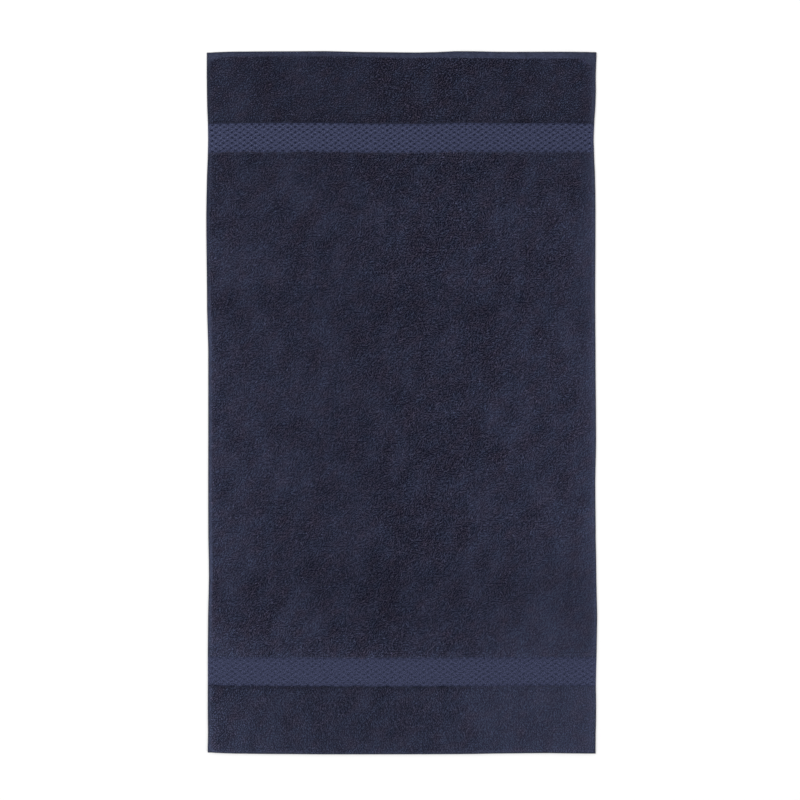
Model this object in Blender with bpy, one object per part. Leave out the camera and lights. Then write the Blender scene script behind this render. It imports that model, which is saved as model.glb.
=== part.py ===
"""A hand towel of cotton terry that lies flat, as one sheet of cloth.

The cloth has pile on both faces. A flat woven border crosses it near each end, sunk below the pile,
and a narrow hem runs round its edge. Its sides draw in a little at the upper border, and its sides
and ends are as uneven as those of a washed towel that was smoothed out by hand.

Frame: +X runs across the towel, +Y along it and +Z up, in metres. The origin is on the surface that
the towel lies on, under the middle of the towel's box.
"""

from collections import namedtuple
from math import ceil, cos, pi, sin, sqrt

import bmesh
import bpy

MM = 0.001

# The cloth laid flat.
WIDTH = 500 * MM
LENGTH = 905 * MM

# Heights above the surface that the towel lies on.
PILE_TOP = 4.4 * MM
HEM_TOP = 2.6 * MM
BORDER_TOP = 2.1 * MM
BORDER_UNDER = 0.6 * MM

# The woven borders: their width, how far each starts from the nearer end of the towel, and the width
# over which the pile beside them rises to its full height.
BORDER_WIDTH = 38 * MM
BORDER_FROM_LOWER_END = 87 * MM
BORDER_FROM_UPPER_END = 92 * MM
BORDER_SHOULDER = 2.5 * MM

# Each edge: the width of hem that shows, and the width over which the pile beside it rises.
Edge = namedtuple("Edge", "hem shoulder")
LEFT = Edge(hem=3.0 * MM, shoulder=5.0 * MM)
RIGHT = Edge(hem=2.5 * MM, shoulder=10.0 * MM)
LOWER = Edge(hem=2.5 * MM, shoulder=3.0 * MM)
UPPER = Edge(hem=6.0 * MM, shoulder=3.0 * MM)

# The hem's fold is rounded over this width. The share of its height that stays upright is its blunt
# face.
FOLD = 1.6 * MM
BLUNT = 0.4

# The longest side that a face of the plain pile may have.
FACE = 25 * MM

# The pile's top is a little uneven: the height of its swells, and how many lie along and across the
# towel.
SWELL = 0.22 * MM
SWELLS_ALONG = 4.5
SWELLS_ACROSS = 2.6

# The crease left where the towel was folded along its middle.
CREASE_DEPTH = 0.35 * MM
CREASE_HALF_WIDTH = 30 * MM
CREASE_X = -4 * MM

# Dyed cotton.
NAVY = (0.027, 0.029, 0.054, 1.0)
ROUGHNESS = 0.95

# The long sides: how far along the towel, from its lower end, and how far the left and the right side
# stand out there from a straight line. All in millimetres.
Side = namedtuple("Side", "along left right")
SIDES = (
    Side(0, 0.0, 0.0),
    Side(17, -0.6, 0.1),
    Side(56, -0.1, 0.8),
    Side(88, -0.2, 0.4),
    Side(133, -0.2, 1.3),
    Side(172, -0.6, 2.1),
    Side(230, -1.7, 1.0),
    Side(288, -0.8, 0.1),
    Side(346, -0.7, -0.4),
    Side(404, -0.8, 0.6),
    Side(520, -0.8, -0.1),
    Side(578, 0.8, -0.5),
    Side(694, 1.8, -0.1),
    Side(733, 1.3, -0.3),
    Side(771, -0.2, -1.9),
    Side(793, -0.6, -2.5),
    Side(814, -0.3, -1.7),
    Side(849, 0.9, 0.4),
    Side(888, 1.2, 0.1),
    Side(905, 1.0, 1.8),
)

# The ends: how far across the towel, from its left side, and how far the lower and the upper end
# stand out there from a straight line. All in millimetres.
End = namedtuple("End", "across lower upper")
ENDS = (
    End(0, -2.7, -2.3),
    End(8, -1.4, -0.8),
    End(23, -0.5, 0.1),
    End(92, 0.2, 0.5),
    End(154, 0.6, 0.8),
    End(201, 0.6, -0.4),
    End(278, 0.5, -1.0),
    End(325, 0.3, 0.8),
    End(387, -0.6, -0.2),
    End(441, -1.0, 0.0),
    End(479, -0.4, -0.1),
    End(500, -0.4, -0.8),
)


def eased(share):
    """From 0 to 1 as share goes from 0 to 1, level at both ends."""
    return (1 - cos(pi * min(max(share, 0.0), 1.0))) / 2


def rounded(share):
    """From 0 to 1 as share goes from 0 to 1, steep at first and level at the end, like a shoulder."""
    return sin(pi / 2 * min(max(share, 0.0), 1.0))


def mixed(first, second, share):
    """The value that lies this share of the way from the first to the second."""
    return first + (second - first) * share


def read(table, column, place):
    """A table's column at a place, both in metres, eased from row to row. The place is its first column."""
    place /= MM
    for row, following in zip(table, table[1:]):
        if place <= following[0]:
            break
    share = eased((place - row[0]) / (following[0] - row[0]))
    return mixed(getattr(row, column), getattr(following, column), share) * MM


def edge_places(edge):
    """How far in from an edge the cloth has points: on the hem's fold and on the pile's shoulder."""
    shoulder = [edge.hem, edge.hem + edge.shoulder / 2, edge.hem + edge.shoulder]
    return [0.0, FOLD / 2, FOLD] + shoulder


def border_starts():
    """How far from the lower end of the towel each border begins."""
    return BORDER_FROM_LOWER_END, LENGTH - BORDER_FROM_UPPER_END - BORDER_WIDTH


def border_places(start):
    """How far along the towel the cloth has points at a border's sides, and on the shoulders there."""
    end = start + BORDER_WIDTH
    steps = [0.0, BORDER_SHOULDER / 2, BORDER_SHOULDER]
    return [start - step for step in steps] + [end + step for step in steps]


def filled_in(places):
    """The places in order, with even ones added wherever two are more than a face apart."""
    places = sorted(places)
    found = [places[0]]
    for first, second in zip(places, places[1:]):
        steps = ceil((second - first) / FACE)
        found += [mixed(first, second, (step + 1) / steps) for step in range(steps)]
    return found


def places_across():
    """Where the cloth has points across the towel, from its left side."""
    right = [WIDTH - place for place in edge_places(RIGHT)]
    return filled_in(edge_places(LEFT) + right)


def places_along():
    """Where the cloth has points along the towel, from its lower end."""
    upper = [LENGTH - place for place in edge_places(UPPER)]
    borders = [place for start in border_starts() for place in border_places(start)]
    return filled_in(edge_places(LOWER) + upper + borders)


def outline_point(across, along):
    """Where a point this far across and along the cloth lies on the surface, inside the uneven outline."""
    left = -WIDTH / 2 - read(SIDES, "left", along)
    right = WIDTH / 2 + read(SIDES, "right", along)
    lower = -LENGTH / 2 - read(ENDS, "lower", across)
    upper = LENGTH / 2 + read(ENDS, "upper", across)
    return mixed(left, right, across / WIDTH), mixed(lower, upper, along / LENGTH)


def inner_share(across, along):
    """0 on the hems, 1 where the pile or a border has its own height, and between them on the shoulders."""
    share = 1.0
    for edge, inside in (
        (LEFT, across),
        (RIGHT, WIDTH - across),
        (LOWER, along),
        (UPPER, LENGTH - along),
    ):
        share *= rounded((inside - edge.hem) / edge.shoulder)
    return share


def border_share(along):
    """1 on a border, 0 on the pile, and between them on the shoulder beside the border."""
    outside = min(max(start - along, along - start - BORDER_WIDTH) for start in border_starts())
    return 1 - rounded(outside / BORDER_SHOULDER)


def fold_share(across, along):
    """The share of its height that the hem has this near its edge, measured both ways from mid-height."""
    inside = min(across, WIDTH - across, along, LENGTH - along)
    short = 1 - min(max(inside / FOLD, 0.0), 1.0)
    return mixed(BLUNT, 1.0, sqrt(1 - short**2))


def swell(across, along):
    """How far the pile's top stands above its mean height, with the crease along the towel's middle."""
    bend = 0.3 * sin(2 * pi * across / WIDTH)
    drift = 0.2 * along / LENGTH
    wave = sin(2 * pi * (SWELLS_ALONG * along / LENGTH + bend))
    wave *= cos(2 * pi * (SWELLS_ACROSS * across / WIDTH + drift))
    off_crease = abs(across - WIDTH / 2 - CREASE_X) / CREASE_HALF_WIDTH
    return SWELL * wave - CREASE_DEPTH * (1 - eased(off_crease))


def heights(across, along):
    """The heights of the cloth's underside and of its top at a point."""
    border = border_share(along)
    inner = inner_share(across, along)
    half_hem = HEM_TOP / 2 * fold_share(across, along)
    inner_top = mixed(PILE_TOP + swell(across, along), BORDER_TOP, border)
    under = mixed(HEM_TOP / 2 - half_hem, BORDER_UNDER * border, inner)
    return under, mixed(HEM_TOP / 2 + half_hem, inner_top, inner)


def make_cloth():
    """The sheet: a grid for its underside, extruded to its top, with each point then set in its place."""
    columns, rows = places_across(), places_along()
    form = bmesh.new()
    bmesh.ops.create_grid(form, x_segments=len(columns) - 1, y_segments=len(rows) - 1, size=0.5)
    for vert in form.verts:
        column = round((vert.co.x + 0.5) * (len(columns) - 1))
        row = round((vert.co.y + 0.5) * (len(rows) - 1))
        vert.co = (columns[column], rows[row], 0.0)

    extruded = bmesh.ops.extrude_face_region(form, geom=form.faces[:])["geom"]
    top = [item for item in extruded if isinstance(item, bmesh.types.BMVert)]
    bmesh.ops.translate(form, verts=top, vec=(0.0, 0.0, PILE_TOP))
    for vert in form.verts:
        across, along, above = vert.co
        height = heights(across, along)[1 if above > 0 else 0]
        vert.co = (*outline_point(across, along), height)

    centre_over_origin(form)
    bmesh.ops.recalc_face_normals(form, faces=form.faces[:])
    mesh = bpy.data.meshes.new("towel")
    form.to_mesh(mesh)
    form.free()
    return mesh


def centre_over_origin(form):
    """Moves the cloth so that the middle of its box is over the origin."""
    xs = [vert.co.x for vert in form.verts]
    ys = [vert.co.y for vert in form.verts]
    to_origin = (-(min(xs) + max(xs)) / 2, -(min(ys) + max(ys)) / 2, 0.0)
    bmesh.ops.translate(form, verts=form.verts[:], vec=to_origin)


def navy_cotton():
    """The dyed cotton that the whole towel is woven from."""
    material = bpy.data.materials.new("navy_cotton")
    material.use_nodes = True
    shader = material.node_tree.nodes["Principled BSDF"]
    shader.inputs["Base Color"].default_value = NAVY
    shader.inputs["Roughness"].default_value = ROUGHNESS
    shader.inputs["Metallic"].default_value = 0.0
    return material


def main():
    for found in list(bpy.data.objects):
        bpy.data.objects.remove(found)
    mesh = make_cloth()
    mesh.materials.append(navy_cotton())
    mesh.shade_smooth()
    mesh.set_sharp_from_angle(angle=pi / 4)
    bpy.context.scene.collection.objects.link(bpy.data.objects.new("towel", mesh))


main()
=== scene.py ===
# %% [markdown]
# # A terry hand towel, laid flat
#
# Terry is woven with two sets of lengthwise threads. The tight set makes the ground cloth. The slack
# set is pushed up into loops, on both faces, and the loops are the pile. In the two borders the slack
# threads are woven flat, so there the cloth is thin and smooth and looks a little brighter and bluer.
#
# This lesson dresses a plain solid of such a towel. The solid gives the outline and the heights. The
# cloth becomes one thin sheet, and the pile becomes many small loops that stand on both its faces.

# %% Load the solid towel
from math import ceil, pi

import bmesh
import bpy
import numpy as np
from mathutils import Matrix, Vector
from mathutils.bvhtree import BVHTree


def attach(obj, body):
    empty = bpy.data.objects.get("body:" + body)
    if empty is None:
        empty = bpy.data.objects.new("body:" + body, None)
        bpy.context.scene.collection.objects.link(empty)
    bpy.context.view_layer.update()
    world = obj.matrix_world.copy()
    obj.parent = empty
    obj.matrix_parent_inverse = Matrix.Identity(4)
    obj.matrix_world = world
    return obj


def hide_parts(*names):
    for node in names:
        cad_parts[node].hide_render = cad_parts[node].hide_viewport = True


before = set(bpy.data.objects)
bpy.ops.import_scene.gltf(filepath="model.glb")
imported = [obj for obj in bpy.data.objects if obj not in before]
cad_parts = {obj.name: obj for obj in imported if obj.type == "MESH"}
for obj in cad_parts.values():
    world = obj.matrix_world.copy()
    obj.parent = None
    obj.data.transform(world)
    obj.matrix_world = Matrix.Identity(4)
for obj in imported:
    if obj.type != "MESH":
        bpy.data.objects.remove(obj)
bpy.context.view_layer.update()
MM = 0.001

# %% [markdown]
# ## Measuring the solid
#
# A real towel is never a true rectangle: its ends wave a little and its sides draw in at the borders.
# Those numbers could be typed in again here, but then there would be two copies to keep in step.
# Rays read them off the solid instead. Rays from the sides find the outline, and rays from above and
# below find the heights. A place on the cloth is told by how far across and how far along it lies, as
# if the cloth were a true rectangle, and one function turns that into a place in space.

# %% Find the outline with rays from the sides
WIDTH, LENGTH = 500 * MM, 905 * MM
HEM_MIDDLE = 1.3 * MM  # half way up the hem, where rays from the sides meet it
CORNER = 6 * MM  # the corners are drawn in, so the rays stay this far away from them
RAY_STEP = 5 * MM
OUTSIDE = 1.0  # metres, well clear of the towel

ray_target = BVHTree.FromObject(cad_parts["towel"], bpy.context.evaluated_depsgraph_get())


def touch(start, direction):
    """The point where a ray first meets the solid."""
    return ray_target.ray_cast(Vector(start), Vector(direction))[0]


rows_seen = np.arange(CORNER, LENGTH - CORNER, RAY_STEP)
columns_seen = np.arange(CORNER, WIDTH - CORNER, RAY_STEP)
left_side = [touch((-OUTSIDE, v - LENGTH / 2, HEM_MIDDLE), (1, 0, 0)).x for v in rows_seen]
right_side = [touch((OUTSIDE, v - LENGTH / 2, HEM_MIDDLE), (-1, 0, 0)).x for v in rows_seen]
lower_end = [touch((u - WIDTH / 2, -OUTSIDE, HEM_MIDDLE), (0, 1, 0)).y for u in columns_seen]
upper_end = [touch((u - WIDTH / 2, OUTSIDE, HEM_MIDDLE), (0, -1, 0)).y for u in columns_seen]


def place(across, along):
    """Where points of the cloth lie in space, from how far across and along the cloth they are."""
    left, right = (np.interp(along, rows_seen, side) for side in (left_side, right_side))
    lower, upper = (np.interp(across, columns_seen, end) for end in (lower_end, upper_end))
    return left + (right - left) * across / WIDTH, lower + (upper - lower) * along / LENGTH


middle_row = len(rows_seen) // 2
print("width at the middle", round((right_side[middle_row] - left_side[middle_row]) / MM, 1), "mm")

# %% Find the heights with rays from above and below
RIM = 0.1 * MM  # a ray nearer to the rim than this might miss


def solid_heights(across, along, from_above=True):
    """The height of the solid's top, or of its underside, at each of these places."""
    across, along = np.clip(across, RIM, WIDTH - RIM), np.clip(along, RIM, LENGTH - RIM)
    start, down = (OUTSIDE, -1) if from_above else (-OUTSIDE, 1)
    found = [touch((x, y, start), (0, 0, down)) for x, y in zip(*place(across, along))]
    return np.array([HEM_MIDDLE if point is None else point.z for point in found])


pile_height = solid_heights(np.array([WIDTH / 2]), np.array([LENGTH / 3]))[0]
print("pile height a third of the way up", round(pile_height / MM, 2), "mm")

# %% [markdown]
# ## Slow changes over the cloth
#
# Washing and smoothing leave a towel uneven: its pile lies another way from hand's breadth to hand's
# breadth. Blender's noise textures could give that in a material, but here it also has to turn and
# tilt loops, so it is worked out in code. A sum of a few long waves in seeded random directions is
# smooth, has features of about the size asked for, and comes out the same on each run. Changes that
# are known, such as a part that was pressed smooth, are written as short tables instead.

# %% Make a field that changes slowly
SHORTEST_WAVE, LONGEST_WAVE = 0.7, 1.6  # as shares of the length asked for


def soft_waves(x, y, wavelength, seed, count=14):
    """A smooth random field over the towel, mostly between -1 and 1, with features of about this size."""
    draw = np.random.default_rng(seed)
    turn, phase = draw.uniform(0, 2 * pi, (2, count))
    length = wavelength * draw.uniform(SHORTEST_WAVE, LONGEST_WAVE, count)
    waves = (np.cos(2 * pi * (x * np.cos(t) + y * np.sin(t)) / w + p) for t, p, w in zip(turn, phase, length))
    return sum(waves) / count**0.5


def mixed_waves(x, y, kinds):
    """The sum of several such fields, each told by its strength, its size and its seed."""
    return sum(strength * soft_waves(x, y, size, seed) for strength, size, seed in kinds)


some_across, some_along = np.meshgrid(np.linspace(0, WIDTH, 50), np.linspace(0, LENGTH, 90))
print("slow waves spread by", round(soft_waves(some_across, some_along, 90 * MM, 3).std(), 2), "about 0")


# %% Read a table
def read(table, where):
    """What a table gives at places in metres. Its keys are in millimetres."""
    return np.interp(where / MM, list(table), list(table.values()))


print("half way from 0 to 10 mm:", read({0: 1.0, 10: 2.0}, 5 * MM))

# %% [markdown]
# ## The ground cloth
#
# The sheet starts as a flat grid in the cloth's own measures. Its faces are large where pile will
# hide them, smaller along the hems, and cut small across the borders, whose honeycomb weave shows.
# The grid is extruded into a sheet with a top, an underside and an edge, and only then are all its
# points moved to their places in space. Working in the cloth's measures first keeps the weave square
# to the edges, and it gives the texture map for nothing: a point's place on the map is its place on
# the cloth. On the two side hems the map is turned, so that streaks always run along a hem.

# %% Lay out the rows and columns of the sheet
BORDER_WIDTH = 38 * MM
LOWER_BORDER = 87 * MM  # from the lower end
UPPER_BORDER = LENGTH - (92 * MM + BORDER_WIDTH)  # its far side is 92 mm from the upper end
BORDERS = (LOWER_BORDER, UPPER_BORDER)
BORDER_STEPS = np.linspace(0, BORDER_WIDTH, 8)
HEM_STEPS = np.array([0.0, 0.3, 0.8, 1.6, 3.0, 5.0, 7.0, 9.0]) * MM  # round the hem's fold and inward
SHOULDER = 2.5 * MM  # the pile beside a border rises over this width
COARSE_FACE = 9 * MM
ROUNDING = 1e-6  # of a face, so that a gap of just one face stays one face


def spread(marks):
    """The marks in order, with even ones added so that no two are further apart than a coarse face."""
    marks = sorted(marks)
    found = [marks[0]]
    for a, b in zip(marks, marks[1:]):
        found += list(np.linspace(a, b, ceil((b - a) / COARSE_FACE - ROUNDING) + 1)[1:])
    return found


columns = spread([*HEM_STEPS, *(WIDTH - HEM_STEPS)])
row_marks = [*HEM_STEPS, *(LENGTH - HEM_STEPS)]
for start in BORDERS:
    row_marks += [start - SHOULDER, *(start + BORDER_STEPS), start + BORDER_WIDTH + SHOULDER]
rows = spread(row_marks)
print(len(columns), "columns and", len(rows), "rows")

# %% Tell where the borders and the hems are
BORDER_SLACK = 0.01 * MM  # a point on a border's very side counts as on it


def in_border(along):
    """Whether places this far along the cloth lie on a border."""
    first, last = -BORDER_SLACK, BORDER_WIDTH + BORDER_SLACK
    return sum((along > start + first) & (along < start + last) for start in BORDERS) > 0


def from_edge(across, along):
    """How far places are from the nearest side, and from the nearest end."""
    return np.minimum(across, WIDTH - across), np.minimum(along, LENGTH - along)


def near_edge(across, along):
    """Whether places lie within the strip that the hem's steps take up."""
    return np.minimum(*from_edge(across, along)) < HEM_STEPS[-1]


print("is the lower border 100 mm up?", bool(in_border(100 * MM)))

# %% Make the sheet in the cloth's own measures
FLAT_THICKNESS = 1 * MM  # only until its points are moved to their heights

form = bmesh.new()
bmesh.ops.create_grid(form, x_segments=len(columns) - 1, y_segments=len(rows) - 1, size=0.5)
for vert in form.verts:
    column = round((vert.co.x + 0.5) * (len(columns) - 1))
    row = round((vert.co.y + 0.5) * (len(rows) - 1))
    vert.co = (columns[column], rows[row], 0.0)
extruded = bmesh.ops.extrude_face_region(form, geom=form.faces[:])["geom"]
top_points = [item for item in extruded if isinstance(item, bmesh.types.BMVert)]
bmesh.ops.translate(form, verts=top_points, vec=(0, 0, FLAT_THICKNESS))
bmesh.ops.recalc_face_normals(form, faces=form.faces[:])
print("the sheet starts with", len(form.faces), "faces")

# %% Cut the sheet finer where it shows
PLAIN_SIDE = 3 * MM  # the honeycomb stops short of the sides by this much
HEM_CUTS = 2  # each long face of a hem is cut across by this many lines
BORDER_CUTS = 7  # each coarse face of a border is cut by this many lines, both ways


def looks(face):
    """1 for a face of the flat sheet that looks up, -1 for one that looks down, 0 for one at its edge."""
    return round(face.normal.z)


def cut(form, edges, cuts):
    """Cuts edges into even lengths and fills each face that they bound with a grid."""
    bmesh.ops.subdivide_edges(form, edges=edges, cuts=cuts, use_grid_fill=True)


weave_faces = {
    face
    for face in form.faces
    if looks(face) == 1
    and all(in_border(vert.co.y) for vert in face.verts)
    and from_edge(*face.calc_center_median().xy)[0] > PLAIN_SIDE
}
cut(form, [edge for edge in form.edges if weave_faces.intersection(edge.link_faces)], BORDER_CUTS)
hem_edges = [
    edge
    for edge in form.edges
    if edge.calc_length() > COARSE_FACE / 2
    and all(near_edge(*vert.co.xy) or not any(from_edge(*vert.co.xy)) for vert in edge.verts)
]
cut(form, hem_edges, HEM_CUTS)
bmesh.ops.triangulate(form, faces=[face for face in form.faces if len(face.verts) > 4])
print("the sheet has", sum(len(face.verts) - 2 for face in form.faces), "triangles")

# %% Give the sheet its maps
BAKE_END = 8 * MM  # the strip along each end where the hem shows
BAKE_MARKS = [0.0, BAKE_END]
for start in BORDERS:
    BAKE_MARKS += [start - MM, start + BORDER_WIDTH + MM]
BAKE_MARKS += [LENGTH - BAKE_END, LENGTH]
BAKE_SHARES = [0.0, 0.04, 0.07, 0.37, 0.43, 0.73, 0.76, 0.8]  # most of the picture goes to the borders
UNDER_FROM = 0.81  # the underside has the rest of the picture, from here

cloth_map = form.loops.layers.uv.new("cloth")
bake_map = form.loops.layers.uv.new("OFBake")
for face in form.faces:
    side, end = from_edge(*face.calc_center_median().xy)
    on_side_hem = side < min(end, HEM_STEPS[-1])
    for corner in face.loops:
        across, along = corner.vert.co.xy
        corner[cloth_map].uv = (along, across) if on_side_hem else (across, along)
        share = np.interp(along, BAKE_MARKS, BAKE_SHARES)
        if looks(face) == -1:
            share = UNDER_FROM + (1 - UNDER_FROM) * share / BAKE_SHARES[-1]
        corner[bake_map].uv = (across / WIDTH, share)
sheet_mesh = bpy.data.meshes.new("ground_cloth")
form.to_mesh(sheet_mesh)
form.free()
print("its maps are", [layer.name for layer in sheet_mesh.uv_layers])

# %% [markdown]
# ## The honeycomb weave of the borders
#
# The borders are woven in a small honeycomb: the threads float over each other in a net of slanting
# ridges, and between them lies one short, dark pit in each cell, with every second row of pits
# shifted by half a cell. A cell is about 10 by 7 mm, so a person sees it from across a room, and it
# is made in the mesh, not only in the material. Each place finds its nearest pit, which lies a little
# off its true spot, as it does in cloth. A product of two cosines is highest where ridges cross.

# %% Work out the honeycomb
CELL_ACROSS, CELL_ALONG = 10.3 * MM, 6.8 * MM
PIT_LENGTH, PIT_WIDTH = 3.0 * MM, 1.65 * MM
PIT_DEPTH = 0.7 * MM
PIT_SLANT = 0.12  # how much a pit rises to the right for each millimetre across
PIT_CORE, PIT_FADE = 1.7, 1.2  # its depth is the first, less the second for each half size from its middle
PIT_MEAN, PIT_SPREAD = 0.9, 0.2  # how deep pits are on the whole, and how much they differ
SHIFT_ACROSS, SHIFT_ALONG = 0.45 * MM, 0.225 * MM  # how far a pit may lie off its spot
LOWER_RELIEF = 0.52  # the lower border is worn flatter than the upper one
CHANCE_ROWS, CHANCE_COLUMNS = 24, 64  # after so many rows or columns the chances come round again
chances = np.random.default_rng(seed=5).normal(0, 1, (3, CHANCE_ROWS, CHANCE_COLUMNS))


def honeycomb(across, along):
    """How far each place is into a pit and how far up onto a crossing of ridges, both from 0 to 1."""
    middles = np.array([start + BORDER_WIDTH / 2 for start in BORDERS])
    from_middle = along - middles[np.argmin([abs(along - middle) for middle in middles], axis=0)]
    row = np.round(from_middle / (CELL_ALONG / 2)).astype(int)
    column = np.round(across / CELL_ACROSS - row % 2 / 2).astype(int)
    shift_x, shift_y, strength = chances[:, row % CHANCE_ROWS, column % CHANCE_COLUMNS]
    from_x = across - (column + row % 2 / 2) * CELL_ACROSS - shift_x * SHIFT_ACROSS
    from_y = from_middle - row * CELL_ALONG / 2 - shift_y * SHIFT_ALONG - PIT_SLANT * from_x
    away = np.hypot(from_x / (PIT_LENGTH / 2), from_y / (PIT_WIDTH / 2))
    pit = np.clip(PIT_CORE - PIT_FADE * away, 0, 1) * (PIT_MEAN + PIT_SPREAD * strength)
    crossing = -np.cos(2 * pi * across / CELL_ACROSS) * np.cos(2 * pi * from_middle / CELL_ALONG)
    relief = np.where(along < LENGTH / 2, LOWER_RELIEF, 1.0)
    relief = relief * (in_border(along) & (from_edge(across, along)[0] > PLAIN_SIDE))
    return np.clip(pit, 0, 1) * relief, np.clip(crossing, 0, 1) ** 2 * relief


print("a border has about", round(WIDTH / CELL_ACROSS * BORDER_WIDTH / CELL_ALONG * 2), "pits")

# %% [markdown]
# ## Where the pile stands
#
# No loop stands on a border, nor on a hem. But pile leans out over the hem in some places, and at the
# corners, where the hem is folded twice, a rounded patch stays bare. One function tells how far
# inside the pile a place is, because both the ground cloth and the loops have to know it.

# %% Say where pile stands
# The tables give the width of hem that shows, in millimetres, along each side and across the upper end.
LEFT_HEM = {0: 1.7, 290: 1.7, 330: 1.2, 580: 1.2, 620: 0.7, 770: 0.6, 815: 0.5, 885: 0.5, 905: 2.0}
RIGHT_HEM = {0: 1.7, 775: 1.7, 810: 0.4, 905: 0.4}
UPPER_HEM = {
    0: 8, 12: 8.7, 20: 7.5, 33: 6.5, 42: 4.6, 55: 3, 70: 2.2, 160: 2.2, 190: 4.2, 245: 7.2, 300: 7.8,
    340: 8.7, 500: 8.7,
}
LOWER_HEM = 2.3 * MM
BARE_CORNERS = {(0, 0): 8 * MM, (1, 0): 4 * MM, (0, 1): 14 * MM, (1, 1): 18 * MM}  # by side and end


def from_upper_hem(u, v):
    """How far below the upper hem each place lies, and below 0 on it."""
    return LENGTH - v - read(UPPER_HEM, u) * MM


def inside_pile(u, v):
    """How far inside the pile each place lies, in metres, and below 0 outside it."""
    left, right = u - read(LEFT_HEM, v) * MM, WIDTH - u - read(RIGHT_HEM, v) * MM
    inside = np.min([left, right, v - LOWER_HEM, from_upper_hem(u, v)], axis=0)
    for (side, end), radius in BARE_CORNERS.items():
        inside = np.minimum(inside, np.hypot(u - side * WIDTH, v - end * LENGTH) - radius)
    return np.where(in_border(v), -BORDER_WIDTH, inside)


print("bare corners of", [round(radius / MM) for radius in BARE_CORNERS.values()], "mm")

# %% [markdown]
# ## How the pile lies
#
# Pile that lies flat shows the sides of its loops. They catch more light, look bluer and hide the
# gaps between them, so a flat patch is light and smooth, and an upright one is dark and rough. Two
# fields say this for each place: a roughness, which shapes the loops, and a tone, which paints that
# light and shade into the pile's colour. Short tables give how they change over the towel, which was
# folded down its middle and pressed smooth at its lower right, and slow waves break them into
# patches. Each cause has a small function of its own, and a last one multiplies them.

# %% Scatter patches, and find the part that was pressed
PATCHES = ((0.3, 90 * MM, 3), (0.3, 32 * MM, 4), (0.15, 14 * MM, 6))  # strength, size and seed of each
LOWER_RIGHT = {0: 1.0, 150: 1.0, 300: 0.3, 400: 0.0}  # how smooth the pressed part is, going up
PRESSED_RISE, PRESSED_LATE = 1.6, 0.55  # going right it grows by the first in all, less the second


def patches(u, v):
    """Patches of flatter and more upright pile, from below 0 to above 0."""
    return mixed_waves(u, v, PATCHES)


def pressed(u, v):
    """How far each place lies in the part that was pressed smooth, from 0 to 1."""
    return read(LOWER_RIGHT, v) * np.clip(PRESSED_RISE * u / WIDTH - PRESSED_LATE, 0, 1)


print("the pressed part is", round(100 * (pressed(some_across, some_along) > 0).mean()), "% of the towel")

# %% Paint shade on the pile down the fold
CREASE = WIDTH / 2 - 4 * MM  # how far across the towel it was folded
# painted shade: how much darker it is at the fold than at the sides, by millimetres from the lower end
MIDDLE_SHADE = {0: 0.38, 40: 0.28, 87: 0.26, 143: 0.33, 290: 0.33, 450: 0.26, 600: 0.18, 775: 0.12, 905: 0.10}
FOLD_LEVEL, FOLD_CURVE = 0.97, 1.3  # the tone half way up from the fold's to the sides', and how it bends


def fold_shade(u, v):
    """Painted shade for the distance from the fold: darkest on it, and lightest at the sides."""
    off_middle = abs(u - CREASE) / (WIDTH / 2)
    return FOLD_LEVEL + read(MIDDLE_SHADE, v) * (off_middle**FOLD_CURVE - 0.5)


print("tone at the fold", fold_shade(CREASE, LENGTH / 2).round(2))

# %% Paint light and shade on the pile near the edges
# Painted light and shade: how much lighter it is right at each side, by millimetres from the lower end.
LEFT_LIGHT = {0: 0.16, 290: 0.16, 340: 0.08, 570: 0.08, 620: -0.04, 770: -0.06, 800: -0.10, 905: -0.10}
RIGHT_LIGHT = {0: -0.12, 87: -0.12, 130: -0.05, 770: -0.05, 905: 0.0}
LEFT_REACH, RIGHT_REACH = 6 * MM, 14 * MM  # how far in from the sides these reach
ROLL_LIGHT, ROLL_REACH = 0.13, 4 * MM  # the pile beside the upper hem rolls over and catches light


def near(distance, reach):
    """1 at no distance, fading towards 0 over a few times the reach."""
    return np.exp(-distance / reach)


def edge_light_and_shade(u, v):
    """The painted light and shade of the pile for its distance from the sides and from the upper hem."""
    tone = 1 + read(LEFT_LIGHT, v) * near(u, LEFT_REACH)
    tone = tone + read(RIGHT_LIGHT, v) * near(WIDTH - u, RIGHT_REACH)
    return tone + ROLL_LIGHT * near(np.clip(from_upper_hem(u, v), 0, None), ROLL_REACH)


print("tone at the left side", edge_light_and_shade(0.0, LENGTH / 4).round(2))

# %% Paint shade on the pile where it ends at a border
# Pile that stands beside a border, on the side of the towel's end, throws a shadow, painted here as a dark
# line.
END_SHADE = 0.42  # how deep that line is at the upper border
LOWER_SHADES = {0: 0.6, 310: 0.6, 345: 0.25, 500: 0.25}  # and at the lower border, from left to right
LINE_OFF, LINE_REACH = 1 * MM, 2 * MM  # its middle lies this far outside the border, and it reaches so far


def steep_shade(u, v):
    """The painted shade of the pile for its distance from those two lines."""
    lower_line, upper_line = LOWER_BORDER - LINE_OFF, UPPER_BORDER + BORDER_WIDTH + LINE_OFF
    tone = 1 - read(LOWER_SHADES, u) * near(abs(v - lower_line), LINE_REACH)
    return tone - END_SHADE * near(abs(v - upper_line), LINE_REACH)


print("tone by the lower line", steep_shade(0.0, LOWER_BORDER).round(2))
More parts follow.
